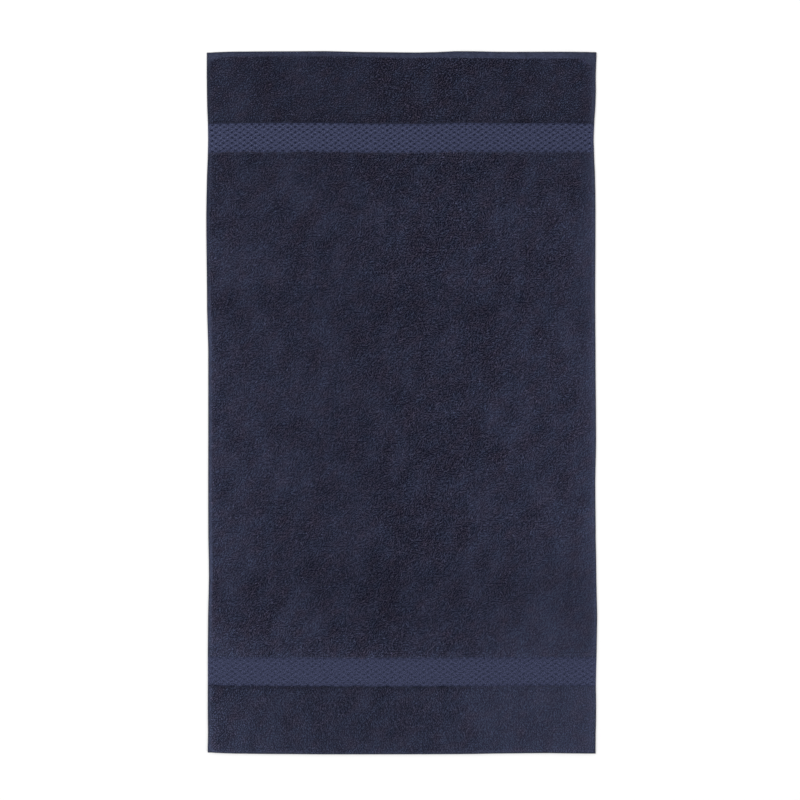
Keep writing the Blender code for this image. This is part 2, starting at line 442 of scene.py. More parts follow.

# %% Paint the light and shade of the pile on the whole
NAP_LIGHT_AND_SHADE = {  # painted light and shade of the nap, by millimetres from the lower end
    0: 1.15, 87: 1.17, 125: 1.46, 137: 1.32, 150: 1.27, 175: 1.12, 200: 0.98, 224: 0.92, 250: 1.02,
    301: 1.14, 330: 1.07, 404: 1.06, 530: 1.06, 560: 0.96, 584: 0.88, 610: 1.04, 700: 1.01, 739: 0.95,
    765: 0.9, 775: 0.85, 905: 0.8,
}
ACROSS_TONES = {  # painted light and shade across the towel, by millimetres from the left side
    0: 1, 20: 0.96, 75: 0.93, 110: 0.93, 170: 0.94, 230: 1, 285: 1.06, 350: 1.05, 420: 1, 500: 0.99,
}
PRESSED_SHADE = {0: 0.07, 87: 0.07, 125: 0.26, 165: 0.26, 210: 0.2, 300: 0.15}  # painted shade: the pressed part looks darker
PATCH_LIGHT = 0.15  # painted light: flat patches catch more light and look lighter


def pile_light_and_shade(u, v):
    """The painted light and shade of the pile at each place: how light it looks for how its nap lies."""
    smooth = (1 + PATCH_LIGHT * patches(u, v)) * (1 - read(PRESSED_SHADE, v) * pressed(u, v))
    tone = read(NAP_LIGHT_AND_SHADE, v) * read(ACROSS_TONES, u) * fold_shade(u, v)
    return tone * edge_light_and_shade(u, v) * steep_shade(u, v) * smooth


print("mean tone of the pile", pile_light_and_shade(some_across, some_along).mean().round(2))

# %% Say how rough the pile is
ROUGHNESSES = {0: 0.82, 30: 0.92, 87: 1.02, 150: 1.1, 270: 1.08, 400: 1.04, 600: 1.09, 775: 1.1, 905: 1.06}
ROUGH_ACROSS = {0: 0.9, 45: 0.88, 80: 0.93, 180: 0.94, 240: 1.12, 330: 1.1, 400: 0.98, 500: 0.9}
SIDE_SMOOTH, PRESSED_SMOOTH, PATCH_SMOOTH = 0.5, 0.45, 0.3  # how much smoother each of them makes it
SMOOTHEST, ROUGHEST = 0.1, 2.5


def roughness(u, v):
    """How rough the pile is, from 0 where it lies smooth to 1 where it stands, or more."""
    right = 1 - SIDE_SMOOTH * np.exp(-(((WIDTH - u) / RIGHT_REACH) ** 2))
    rough = read(ROUGHNESSES, v) * read(ROUGH_ACROSS, u) * right * (1 - PRESSED_SMOOTH * pressed(u, v))
    return np.clip(rough * (1 - PATCH_SMOOTH * patches(u, v)), SMOOTHEST, ROUGHEST)


print("mean roughness", roughness(some_across, some_along).mean().round(2))

# %% [markdown]
# ## Light and shade on the ground cloth
#
# Two things shade the parts of the ground cloth that show. The pile beside a border stands over it,
# more so on the side of the towel's end, and takes light from its first millimetres. And a hem is a
# roll of cloth, dark at its outer rim, where it turns under. Lights would give part of that, but
# fluff and fine folds that the mesh leaves out deepen it, so it also goes into a tone that each point
# of the mesh carries. The materials turn a tone into a colour.

# %% Shade the borders beside the pile
BORDER_LEFT, BORDER_LIGHT_FALL = 0.785, 0.07  # a border's tone at the left, and how much painted light falls off by the right
SIDE_LIGHT, SIDE_LIGHT_REACH = 0.12, 8 * MM  # and how much lighter it is at both sides
END_REACH = 1.2 * MM  # how far in the painted shadow lines reach on the sides of the towel's ends
FIELD_SHADE, FIELD_REACH = 0.25, 2.5 * MM  # how deep they are on the other sides, and how far they reach
UNEVEN_SHADE, SHADE_SIZE = 0.5, 10 * MM  # the lower border's painted shadow line comes and goes


def border_tones(across, along):
    """How light the borders are at each place, about 0.75 in their middle, with painted light that falls off
    to the right and painted shade in lines near pile.
    """
    tone = BORDER_LEFT - BORDER_LIGHT_FALL * across / WIDTH
    tone = tone + SIDE_LIGHT * near(from_edge(across, along)[0], SIDE_LIGHT_REACH)
    uneven = 1 + UNEVEN_SHADE * soft_waves(across, 0, SHADE_SIZE, seed=23)
    on_lower = along < LENGTH / 2
    end_shade = np.where(on_lower, read(LOWER_SHADES, across) * uneven, END_SHADE)
    start = np.where(on_lower, LOWER_BORDER, UPPER_BORDER)
    from_start, from_far = np.clip([along - start, start + BORDER_WIDTH - along], 0, None)
    from_end, from_field = np.where(on_lower, [from_start, from_far], [from_far, from_start])
    return tone - end_shade * near(from_end, END_REACH) - FIELD_SHADE * near(from_field, FIELD_REACH)


print("tone of a border's middle", border_tones(WIDTH / 2, LOWER_BORDER + BORDER_WIDTH / 2).round(2))

# %% Shade the hems
# painted shade at the hem's outer rim, where the roll turns under, and how far in it reaches
RIM_SHADE, RIM_WIDTH = 0.25, 1.1 * MM
STREAKS, STREAK_SIZE = 0.10, 16 * MM
# The tone of each hem, by millimetres from the left side or from the lower end.
UPPER_TONES = {0: 0.62, 30: 0.64, 60: 0.48, 200: 0.60, 400: 0.70, 470: 0.69, 485: 0.58}
LOWER_TONES = {0: 1.1, 12: 1.1, 40: 0.7, 110: 0.58, 220: 0.58, 300: 0.68}
LEFT_TONES = {
    0: 1.1, 12: 1.1, 20: 0.7, 150: 0.8, 200: 1.0, 250: 1.05, 300: 0.9, 560: 0.88, 620: 0.45, 770: 0.42,
    800: 0.28, 885: 0.28, 892: 0.62,
}
RIGHT_TONES = {0: 0.62, 20: 0.52, 87: 0.72, 780: 0.72, 810: 0.6, 905: 0.58}


def hem_tones(across, along):
    """How light the hems are at each place: painted shade at the rim, where the roll turns under, and a
    little streaky along the edge.
    """
    side, end = from_edge(across, along)
    at_ends = np.where(along > LENGTH / 2, read(UPPER_TONES, across), read(LOWER_TONES, across))
    at_sides = np.where(across > WIDTH / 2, read(RIGHT_TONES, along), read(LEFT_TONES, along))
    tone = np.where(end < side, at_ends, at_sides)
    tone = tone * (1 + STREAKS * soft_waves(across, along, STREAK_SIZE, seed=21))
    return tone * (1 - (1 - RIM_SHADE) * near(np.minimum(side, end), RIM_WIDTH))


print("tone of the upper hem", hem_tones(WIDTH / 2, LENGTH - 3 * MM).round(2))

# %% [markdown]
# ## Moving the sheet into place
#
# Under the pile the sheet runs as a thin cloth between the two faces of the solid, and on the hems
# and borders it follows the solid's own faces. The honeycomb sinks its pits and lifts its crossings,
# and the hems pucker a little, as cloth does beside a line of stitches.

# %% Find which parts of the sheet carry pile
GROUND_TOP, GROUND_UNDER = 2.0 * MM, 1.2 * MM  # the ground cloth's two faces where it carries pile
PILE_FROM = 3.0 * MM  # pile starts where the solid is higher than this
COVERED_FROM = 3.2 * MM  # and hides the ground where the solid is higher than this

face_across, face_along = np.array([face.center.xy for face in sheet_mesh.polygons]).T
at_edge = np.array([looks(face) == 0 for face in sheet_mesh.polygons])
covered = (solid_heights(face_across, face_along) > COVERED_FROM) & ~at_edge
covered &= inside_pile(face_across, face_along) > 0
print("pile covers", covered.sum(), "faces of the sheet")

# %% Move the points of the sheet to their places
PUCKER, PUCKER_SIZE, PUCKER_FROM = 0.12 * MM, 14 * MM, 2 * MM  # its height, size and start from the edge
CROSSING_HEIGHT = 0.1 * MM

points = np.zeros(len(sheet_mesh.vertices) * 3, np.float32)
sheet_mesh.vertices.foreach_get("co", points)
across, along, level = points.reshape(-1, 3).T.astype(float)
on_top = level > FLAT_THICKNESS / 2
upper, lower = solid_heights(across, along), solid_heights(across, along, from_above=False)
carries_pile = (upper > PILE_FROM) & (inside_pile(across, along) > 0)
pit, crossing = honeycomb(across, along)
inward = np.clip(np.minimum(*from_edge(across, along)) / PUCKER_FROM, 0, 1)
upper = upper + PUCKER * inward * soft_waves(across, along, PUCKER_SIZE, seed=22)
upper = upper + CROSSING_HEIGHT * crossing - PIT_DEPTH * pit
z = np.where(carries_pile, np.where(on_top, GROUND_TOP, GROUND_UNDER), np.where(on_top, upper, lower))
x, y = place(across, along)
sheet_mesh.vertices.foreach_set("co", np.stack([x, y, z], 1).astype(np.float32).ravel())
print("the sheet is", round(z.max() / MM, 2), "mm high")

# %% Give the points of the sheet their tones
WEAVE_TONE, LIGHTEST_WEAVE = 0.67, 1.2
CROSSING_HIGHLIGHT, PIT_GROUND_AND_SHADE = 0.41, 1.0  # painted highlight on crossings of ridges, and how much darker pits are, for the darker ground in them and painted shade
SHADED_GAP_TONE, DARKEST_GAP = 0.8, 0.08  # painted shade on the ground seen between loops: its tone where the pile lies smoothest, and the darkest it gets
GAP_SHADE_DEEPER = 0.58  # how much deeper that painted shade is where the pile is rough


def give(mesh, **numbers):
    """Lets a mesh carry numbers, one for each of its points, under the names given."""
    for name, values in numbers.items():
        layer = mesh.attributes.new(name, "FLOAT", "POINT")
        layer.data.foreach_set("value", values.astype(np.float32).ravel())


woven = np.clip(WEAVE_TONE + CROSSING_HIGHLIGHT * crossing - PIT_GROUND_AND_SHADE * pit, 0, LIGHTEST_WEAVE)
gaps = np.clip(SHADED_GAP_TONE - GAP_SHADE_DEEPER * roughness(across, along), DARKEST_GAP, 1)
tone = np.where(in_border(along), woven * border_tones(across, along), hem_tones(across, along))
give(sheet_mesh, tone=tone, gap_tone=gaps * pile_light_and_shade(across, along))
print("mean tone of the borders", round(tone[in_border(along) & on_top].mean(), 2))


# %% Put the sheet in the scene
def put_in_scene(name, data):
    """A new object in the scene, at the origin, that shows this data."""
    thing = bpy.data.objects.new(name, data)
    bpy.context.scene.collection.objects.link(thing)
    return thing


sheet_mesh.shade_smooth()
sheet_mesh.update()
ground_cloth = put_in_scene("ground_cloth", sheet_mesh)
print("the sheet has", len(sheet_mesh.polygons), "faces")

# %% [markdown]
# ## One loop of pile
#
# A loop of pile is a yarn that comes up out of the ground, bends over and goes down again. Seen
# against its neighbours only its bent top shows. A three-sided spindle does for that: a sphere of
# three segments, laid on its side and bent down at both ends. It has only six faces, which matters
# when there are so many of it. Its skin is also unrolled flat, for the maps: one number says how far
# round the yarn a corner lies, and the other how far along it.

# %% Make the loop
YARN_THICKNESS, YARN_BEND = 0.4, 0.8  # of the loop's height: its yarn, and how far its ends bend down
BY_THE_MIDDLE = 0.1  # the three points round the middle are nearer to it than this, and the two tips aren't


def make_loop():
    """The points and faces of a loop 1 long, 1 wide and 1 high, with its top at 0, and its flat skin."""
    loop = bmesh.new()
    bmesh.ops.create_uvsphere(loop, u_segments=3, v_segments=2, radius=0.5)
    bmesh.ops.rotate(loop, verts=loop.verts, matrix=Matrix.Rotation(-pi / 2, 3, "Y"))
    bmesh.ops.recalc_face_normals(loop, faces=loop.faces)
    loop.verts.index_update()
    sides = np.array([[vert.index for vert in face.verts] for face in loop.faces])
    spots = np.array([vert.co for vert in loop.verts])
    loop.free()
    around = np.arctan2(spots[:, 1], -spots[:, 2]) / (2 * pi) % 1
    skin = np.stack([around[sides], spots[sides][..., 0] + 0.5], 2)
    for face in skin:
        ring = abs(face[:, 1] - 0.5) < BY_THE_MIDDLE
        face[ring, 0] += (face[ring, 0].max() - face[ring, 0] > 0.5) * 1.0
        face[~ring, 0] = face[ring, 0].mean()
    skin[..., 0] -= skin[..., 0].min()
    spots[:, 2] = YARN_THICKNESS * (spots[:, 2] - 0.5) - YARN_BEND * (2 * spots[:, 0]) ** 2
    return spots, sides, skin


loop_points, loop_faces, loop_skin = make_loop()
print("a loop has", len(loop_faces), "faces and its points are", loop_points.round(2).tolist())

# %% [markdown]
# ## Planting the pile
#
# The loops stand in rows, as the loom made them, but washing shakes them out of line. So each loop
# gets its place from a grid with some scatter. Real loops are about 1.5 mm apart; these are a little
# coarser, and on the underside coarser again, so that all of them together stay under a million
# faces. At the edge of the pile each loop is kept or dropped by a different measure, for a ragged line.

# %% Scatter the loops
TOP_PITCH, UNDER_PITCH = 2.15 * MM, 3.0 * MM
ROW_PITCH = 0.98  # rows are a little closer together than the loops in them
SHAKEN = 0.35  # how far a loop may be off its spot, in pitches
RAGGED = (-0.8, 0.6)  # millimetres, how far outside or inside its line the pile may end


def scatter(pitch, random):
    """Places for loops, about this far apart, wherever there is pile."""
    u, v = np.meshgrid(np.arange(pitch / 2, WIDTH, pitch), np.arange(pitch / 2, LENGTH, pitch * ROW_PITCH))
    u[::2] += pitch / 2
    u, v = (way.ravel() + random.uniform(-SHAKEN, SHAKEN, way.size) * pitch for way in (u, v))
    kept = inside_pile(u, v) > random.uniform(*RAGGED, len(u)) * MM
    return u[kept], v[kept]


random = np.random.default_rng(seed=12)
u, v = scatter(TOP_PITCH, random)
print(len(u), "loops on the top")

# %% [markdown]
# ## Shaping every loop
#
# Each loop is a copy of the one above: stretched to its size, turned, leaned over and set at its
# height. Neighbours turn and lean alike, as combed by a hand: slantwise over most of the towel, and
# lengthwise at its lower end and where the pile lies smooth. Beside a border the crowns lean out over
# it, which gives the border its ragged edge. Blender could scatter instances with Geometry Nodes, but
# arrays of numbers are just as quick here and let each loop differ in shape and tone.

# %% Lean the pile out over the borders
END_LEAN = 0.6  # millimetres, beside a border on the side of the towel's end
FIELD_LEAN, UNEVEN_LEAN = 1.4, 1.5  # millimetres, on its other side, and how much that differs
LEAN_PATCH = 20 * MM  # from patch to patch of this size
LEAN_REACH = 3 * MM
CROWN_STEP = 1.5 * MM
LOWEST_PILE = PILE_FROM + 0.05 * MM


def overhang(u, v):
    """How far the crowns of the pile beside a border lean out over it."""
    lean = np.zeros(len(u))
    field_lean = FIELD_LEAN + UNEVEN_LEAN * soft_waves(u, v, LEAN_PATCH, seed=11)
    for start, field_side in ((LOWER_BORDER, 1), (UPPER_BORDER, -1)):
        for edge, side in ((start, -1), (start + BORDER_WIDTH, 1)):
            out = (v - edge) * side
            most = field_lean if side == field_side else END_LEAN
            lean -= np.where(out >= 0, side * most * near(out, LEAN_REACH), 0) * MM
    return lean


def crowns(u, v):
    """How high the loops reach. Beside a border they stand up straight, so this looks a little inward."""
    reach = np.max([solid_heights(u, v + step) for step in (-CROWN_STEP, CROWN_STEP)], axis=0)
    return np.maximum(reach, LOWEST_PILE)


print("overhang up to", round(abs(overhang(u, v)).max() / MM, 1), "mm")

# %% Turn points, and keep them on the cloth
EDGE_GAP = 0.2 * MM  # between a loop and the cloth's edge


def turned(local, turn):
    """Points turned about the upright axis by an angle for each loop."""
    c, s = np.cos(turn)[:, None], np.sin(turn)[:, None]
    return np.stack([local[..., 0] * c - local[..., 1] * s, local[..., 0] * s + local[..., 1] * c], 2)


def moved_in(flat, u, v):
    """The loops moved so that none sticks out past the edge of the cloth."""
    first = np.stack([place(0 * u, v)[0], place(u, 0 * v)[1]], 1)[:, None] + EDGE_GAP
    last = np.stack([place(0 * u + WIDTH, v)[0], place(u, 0 * v + LENGTH)[1]], 1)[:, None] - EDGE_GAP
    flat = flat + np.clip(first - flat.min(1, keepdims=True), 0, None)
    return flat - np.clip(flat.max(1, keepdims=True) - last, 0, None)


print("a quarter turn:", turned(loop_points[None, :1], np.array([pi / 2])).round(2).tolist())

# %% Shape the loops
COMBED = {0: 80, 87: 75, 130: 43, 905: 36}  # which way the loops run: 0 degrees is across the towel
DRIFT, DRIFT_SIZE, OWN_TURN = 0.55, 25 * MM, 0.45  # how far patches, and each loop, stray from it, in radians
LENGTHWISE = pi / 2
SMALLEST, LARGEST = 0.85, 1.15  # of a loop's usual size
CROWN_DROP = 0.35 * MM  # how far crowns stay below the solid's top where the pile is rough
ROOT = 0.4 * MM  # how deep the feet go into the ground cloth
FLATTER, WIDER = 0.6, 0.4  # how loops change where they lie smooth
LEAN, LEAN_SIZE, OWN_LEAN = 0.5 * MM, 45 * MM, 0.25 * MM  # how far patches, and each loop, lean over


def shape_loops(u, v, pitch, shape, random):
    """The points of a loop at each place. shape is how long and how wide it is, in pitches."""
    count, rough = len(u), roughness(u, v)
    lying = np.clip(1 - rough, 0, 1)  # smooth pile is combed along the towel
    combed = np.radians(read(COMBED, v)) + DRIFT * soft_waves(u, v, DRIFT_SIZE, seed=7)
    turn = combed * (1 - lying) + LENGTHWISE * lying + random.normal(0, OWN_TURN, count)
    size = random.uniform(SMALLEST, LARGEST, count) * pitch
    crown = crowns(u, v) - abs(random.normal(0, CROWN_DROP, count)) * rough
    drop = (crown - GROUND_TOP + ROOT) * (1 - FLATTER * lying)
    long, wide = shape[0] * size, shape[1] * size * (1 + WIDER * lying)
    local = loop_points * np.stack([long, wide, drop], 1)[:, None]
    lean_x, lean_y = (
        LEAN * soft_waves(u, v, LEAN_SIZE, seed) + random.normal(0, OWN_LEAN, count) for seed in (1, 2)
    )
    lean = np.stack([lean_x, lean_y + overhang(u, v)], 1)[:, None] * (1 + loop_points[:, 2])[None, :, None]
    flat = np.stack(place(u, v), 1)[:, None] + turned(local, turn) + lean
    return np.concatenate([moved_in(flat, u, v), crown[:, None, None] + local[..., 2:]], 2)


top_shape = (1.75, 0.69)  # long and narrow
loops = shape_loops(u, v, TOP_PITCH, top_shape, random)
print("the loops reach", round(loops[..., 2].max() / MM, 2), "mm high")

# %% Colour the loops
OWN_TONE = 0.27  # how much loops differ in tone where the pile is rough
FOOT_SHADE, DEEPEST_FOOT_SHADE = 0.45, 0.8  # painted shade where neighbours hide a loop's feet: how much darker its feet are than its crown, and the most that may be
PLUM = {0: 0.16, 87: 0.16, 150: 0.33, 905: 0.33}  # how much of the plum tint the pile has on the whole
ROUGH_PLUM, PATCH_PLUM = 0.5, 0.25  # rough pile has more of it, and smooth patches less
TINT_WAVES = ((0.4, 16 * MM, 8), (0.3, 45 * MM, 9))  # strength, size and seed of each
OWN_TINT, TINT_LIMITS = 0.05, (-0.3, 1.3)


def colour_loops(u, v, random):
    """Each loop's tone at its points, with the pile's painted light and shade and painted shade at its feet,
    and its tint, from blue at 0 to plum at 1.
    """
    count, rough = len(u), roughness(u, v)
    tone = pile_light_and_shade(u, v) * np.exp(random.normal(0, OWN_TONE, count) * rough)
    shaded_foot = 1 - np.clip(FOOT_SHADE * rough[:, None], 0, DEEPEST_FOOT_SHADE)
    tint = read(PLUM, v) + ROUGH_PLUM * (rough - 1) - PATCH_PLUM * patches(u, v)
    tint += mixed_waves(u, v, TINT_WAVES)
    tint = np.clip(tint + random.normal(0, OWN_TINT, count), *TINT_LIMITS)
    return tone[:, None] * (shaded_foot + (1 - shaded_foot) * (1 + loop_points[:, 2]) ** 2), tint


tone, tint = colour_loops(u, v, random)
print("their mean tone is", round(tone.mean(), 2), "and their mean tint", round(tint.mean(), 2))

# %% [markdown]
# ## Joining the loops into strips
#
# An object for each loop would bring Blender to its knees, so they are joined into long strips, each
# one mesh of under 200,000 faces. Two maps go with them. On one, each loop has its skin at real size,
# for the twist of its yarn. On the other, each loop has a small square of its own, so that its
# colours can be painted into a picture without touching a neighbour's.

# %% Join loops into one mesh
CELL_MARGIN = 0.12  # of a loop's square on the map


def fill_map(mesh, name, corners):
    """Adds a map to a mesh, with a place for each corner of its faces."""
    layer = mesh.uv_layers.new(name=name)
    layer.uv.foreach_set("vector", corners.astype(np.float32).ravel())


def joined(name, points, tone, tint, yarn_size, faces=loop_faces, skin=loop_skin):
    """One object from many loops. yarn_size is how far it is round a loop and along it, in metres."""
    count = len(points)
    corners = (faces[None] + np.arange(count)[:, None, None] * points.shape[1]).reshape(-1, 3)
    mesh = bpy.data.meshes.new(name)
    mesh.vertices.add(count * points.shape[1])
    mesh.vertices.foreach_set("co", points.astype(np.float32).ravel())
    mesh.loops.add(corners.size)
    mesh.loops.foreach_set("vertex_index", corners.ravel().astype(np.int32))
    mesh.polygons.add(len(corners))
    mesh.polygons.foreach_set("loop_start", np.arange(0, corners.size, 3, dtype=np.int32))
    mesh.update(calc_edges=True)
    mesh.shade_smooth()
    give(mesh, tone=tone, tint=np.repeat(tint, points.shape[1]))
    fill_map(mesh, "yarn", np.broadcast_to(skin * yarn_size, (count, *skin.shape)))
    cells = ceil(count**0.5)
    cell = np.stack([np.arange(count) % cells, np.arange(count) // cells], 1)[:, None, None]
    fill_map(mesh, "OFBake", (cell + CELL_MARGIN + (1 - 2 * CELL_MARGIN) * skin) / cells)
    print(name, "has", len(corners), "faces")
    return put_in_scene(name, mesh)


# %% Join the loops on top into strips
ROUND_YARN, ALONG_YARN = 2.4, 2.6  # how far it is round a loop and along it, in pitches


def strips(name, count, u, points, tone, tint, pitch, **options):
    """Loops joined into strips that run along the towel."""
    number = np.clip((u / WIDTH * count).astype(int), 0, count - 1)
    yarn_size = (ROUND_YARN * pitch, ALONG_YARN * pitch)
    chosen = [number == i for i in range(count)]
    return [
        joined(f"{name}_{i + 1}", points[own], tone[own], tint[own], yarn_size, **options)
        for i, own in enumerate(chosen)
    ]


pile = strips("pile_strip", 5, u, loops, tone, tint, TOP_PITCH)

# %% [markdown]
# ## The pile underneath
#
# The underside is the same cloth turned over, and it has the same pile. Its loops are shaped as if
# they stood up and then mirrored, which turns each face inside out, so the order of the corners is
# turned round as well. They are pressed shorter, because the towel's whole weight lies on them.

# %% Make the pile underneath
UNDER_ROOT = 0.3 * MM
under_shape = (1.6, 0.95)  # wider, for they are further apart

u, v = scatter(UNDER_PITCH, random)
loops = shape_loops(u, v, UNDER_PITCH, under_shape, random)
tone, tint = colour_loops(u, v, random)
crown = loops[..., 2].max()
loops[..., 2] = (crown - loops[..., 2]) / (crown - GROUND_TOP + ROOT) * (GROUND_UNDER + UNDER_ROOT)
inside_out = {"faces": loop_faces[:, ::-1], "skin": loop_skin[:, ::-1]}
pile += strips("under_pile_strip", 3, u, loops, tone, tint, UNDER_PITCH, **inside_out)
print("the pile has", sum(len(strip.data.polygons) for strip in pile), "faces in all")

# %% [markdown]
# ## The hem's stitches
#
# The hem is turned under and held by one line of short stitches in thread of the same dye. From a
# step away they are only a row of light beads, so each is the same spindle as a loop, laid along the
# line. At the upper end the line runs close to the inner side of the hem, where a machine would sew
# it, and along the narrow hems of the other edges it runs close to the edge.

# %% Lay out the stitches
STITCH, STITCH_PITCH, THREAD, THREAD_RISE = 2.7 * MM, 3.9 * MM, 0.9 * MM, 0.3 * MM
EDGE_INSET, UPPER_INSET = 1.2 * MM, 0.4 * MM  # from the cloth's edge, and from the upper hem's inner side
LINE_END = 5 * MM  # the lines along the sides stop this far short of the upper end
CROOKED = 0.06  # how far stitches turn out of line, in radians

ups = np.arange(2 * EDGE_INSET, LENGTH - LINE_END, STITCH_PITCH)
overs = np.arange(2 * EDGE_INSET, WIDTH - 2 * EDGE_INSET, STITCH_PITCH)
upper_line = LENGTH - read(UPPER_HEM, overs) * MM + UPPER_INSET
stitch_u = np.concatenate([0 * ups + EDGE_INSET, 0 * ups + WIDTH - EDGE_INSET, overs, overs])
stitch_v = np.concatenate([ups, ups, 0 * overs + EDGE_INSET, upper_line])
stitch_turn = np.repeat([LENGTHWISE, 0], [2 * len(ups), 2 * len(overs)])
stitch_turn = stitch_turn + random.normal(0, CROOKED, len(stitch_u))
print(len(stitch_u), "stitches")

# %% Sew the hem
PROUD = 0.6  # the share of its rise by which the thread stands above the cloth
STITCH_TONES = (0.7, 1.1)
UPPER_HIGHLIGHT = 1.5  # painted highlight: the upper line lies on top of the hem's roll and catches the light
STITCH_TINT = 0.3

local = np.repeat([loop_points * (STITCH, THREAD, THREAD_RISE)], len(stitch_u), 0)
stitch_top = solid_heights(stitch_u, stitch_v) + PROUD * THREAD_RISE
flat = np.stack(place(stitch_u, stitch_v), 1)[:, None] + turned(local, stitch_turn)
points = np.concatenate([flat, stitch_top[:, None, None] + local[..., 2:]], 2)
stitch_tone = random.uniform(*STITCH_TONES, len(points))
stitch_tone[-len(overs):] *= UPPER_HIGHLIGHT
stitch_tint = 0 * stitch_tone + STITCH_TINT
point_tones = np.repeat(stitch_tone, len(loop_points))
hem_stitches = joined("hem_stitches", points, point_tones, stitch_tint, (2 * THREAD, STITCH))

# %% [markdown]
# ## Dyed cotton
#
# Everything here is one dyed cotton, but how it is worked changes what the eye gets. Looped yarn is
# soft and matt and swallows light between its loops. Flat woven yarn lies tight and gives back more
# light and more blue. A hem is woven cloth too, rolled and pressed, with faint streaks along its
# roll. Colours are sRGB hex values as a painter would pick them, and one function turns them linear.
# Each material blends a dark colour and a light one by the tone that the mesh carries, and that tone holds
# the painted light and shade worked out above.

# %% Helpers for materials
COLOURS = {"data_type": "RGBA", "clamp_factor": False}  # how a Mix node is set to blend colours
FACTOR, DARK, LIGHT, BLEND = 0, 6, 7, 2  # where it then has its three inputs and its output


def linear(hex_colour):
    """An sRGB colour such as "2b2c3c" as the linear colour that shaders use."""
    channels = np.array([int(hex_colour[i : i + 2], 16) / 255 for i in (0, 2, 4)])
    low, high = channels / 12.92, ((channels + 0.055) / 1.055) ** 2.4
    return (*np.where(channels <= 0.04045, low, high), 1.0)


def add(tree, kind, inputs=None, **settings):
    """Adds a node. Each input, by name or number, gets a value or a link from another node's output."""
    node = tree.nodes.new(kind)
    for name, value in settings.items():
        setattr(node, name, value)
    for socket, value in (inputs or {}).items():
        if isinstance(value, bpy.types.NodeSocket):
            tree.links.new(value, node.inputs[socket])
        else:
            node.inputs[socket].default_value = value
    return node


print("a dark navy is", [round(float(value), 4) for value in linear("14151f")], "to a shader")

# %% Start a material
COTTON = {
    "Specular IOR Level": 0.04,  # loose fibres scatter light and give almost no mirror shine
    "Sheen Roughness": 0.5,
}


def start_material(name, inputs):
    """A new material, with its node tree and its shader, some of whose inputs are set."""
    material = bpy.data.materials.new(name)
    material.use_nodes = True
    shader = material.node_tree.nodes["Principled BSDF"]
    for socket, value in inputs.items():
        shader.inputs[socket].default_value = value
    return material, material.node_tree, shader


def cotton(name, roughness, sheen):
    """The start of a cotton."""
    return start_material(name, {**COTTON, "Roughness": roughness, "Sheen Weight": sheen})


print("every cotton here has", COTTON)

# %% Looped cotton pile, two-ply yarn that was spun soft
# It gives the eye a matt, deep navy. Its plies make fine slanting grooves, seen only from close by, drawn as
# painted shade in the grooves and painted light on the ridges.
PLY_PITCH = 1.0 * MM  # real plies are about 0.7 mm apart
DIAGONAL_REPEAT = 2 * pi / 10  # how many units a diagonal wave texture of scale 1 takes to repeat
GROOVE_SHADE_TONE, RIDGE_LIGHT_TONE = 0.88, 1.12

pile_cotton, tree, shader = cotton("looped_cotton_pile", roughness=0.95, sheen=0.04)
yarn_place = add(tree, "ShaderNodeUVMap", uv_map="yarn").outputs["UV"]
twist = {"Vector": yarn_place, "Scale": DIAGONAL_REPEAT / PLY_PITCH, "Distortion": 1.0}
plies = add(tree, "ShaderNodeTexWave", twist, bands_direction="DIAGONAL").outputs["Fac"]
ply_tone = add(tree, "ShaderNodeMapRange", {"Value": plies, "To Min": GROOVE_SHADE_TONE, "To Max": RIDGE_LIGHT_TONE})
loop_tone = add(tree, "ShaderNodeAttribute", attribute_name="tone").outputs["Fac"]
both = add(tree, "ShaderNodeMath", {0: loop_tone, 1: ply_tone.outputs["Result"]}, operation="MULTIPLY")
loop_tint = add(tree, "ShaderNodeAttribute", attribute_name="tint").outputs["Fac"]
darks = {FACTOR: loop_tint, DARK: linear("0a0d21"), LIGHT: linear("0f0d1f")}  # from blue to plum
lights = {FACTOR: loop_tint, DARK: linear("474c67"), LIGHT: linear("4d4a62")}
dark, light = (add(tree, "ShaderNodeMix", ends, **COLOURS).outputs[BLEND] for ends in (darks, lights))
colour = add(tree, "ShaderNodeMix", {FACTOR: both.outputs[0], DARK: dark, LIGHT: light}, **COLOURS)
tree.links.new(colour.outputs[BLEND], shader.inputs["Base Color"])
print(pile_cotton.name, "has", len(tree.nodes), "nodes")

# %% Flat woven cotton, pressed by ironing
# It gives the eye a lighter, bluer navy that is uneven from thread to thread. Threads are 0.5 mm
# apart; their unevenness is drawn about 0.9 mm wide, as coarse as it needs to be to show.
THREAD_PITCH, UNEVEN_SIZE = 0.5 * MM, 0.85 * MM
STRAIGHT_REPEAT = 2 * pi / 20  # the same as above for a wave texture whose bands lie along X or Y
NOISE_LOW, NOISE_HIGH = 0.3, 0.7  # a noise texture keeps mostly between these
THREAD_BUMP, THREAD_HEIGHT = 0.4, 0.1 * MM


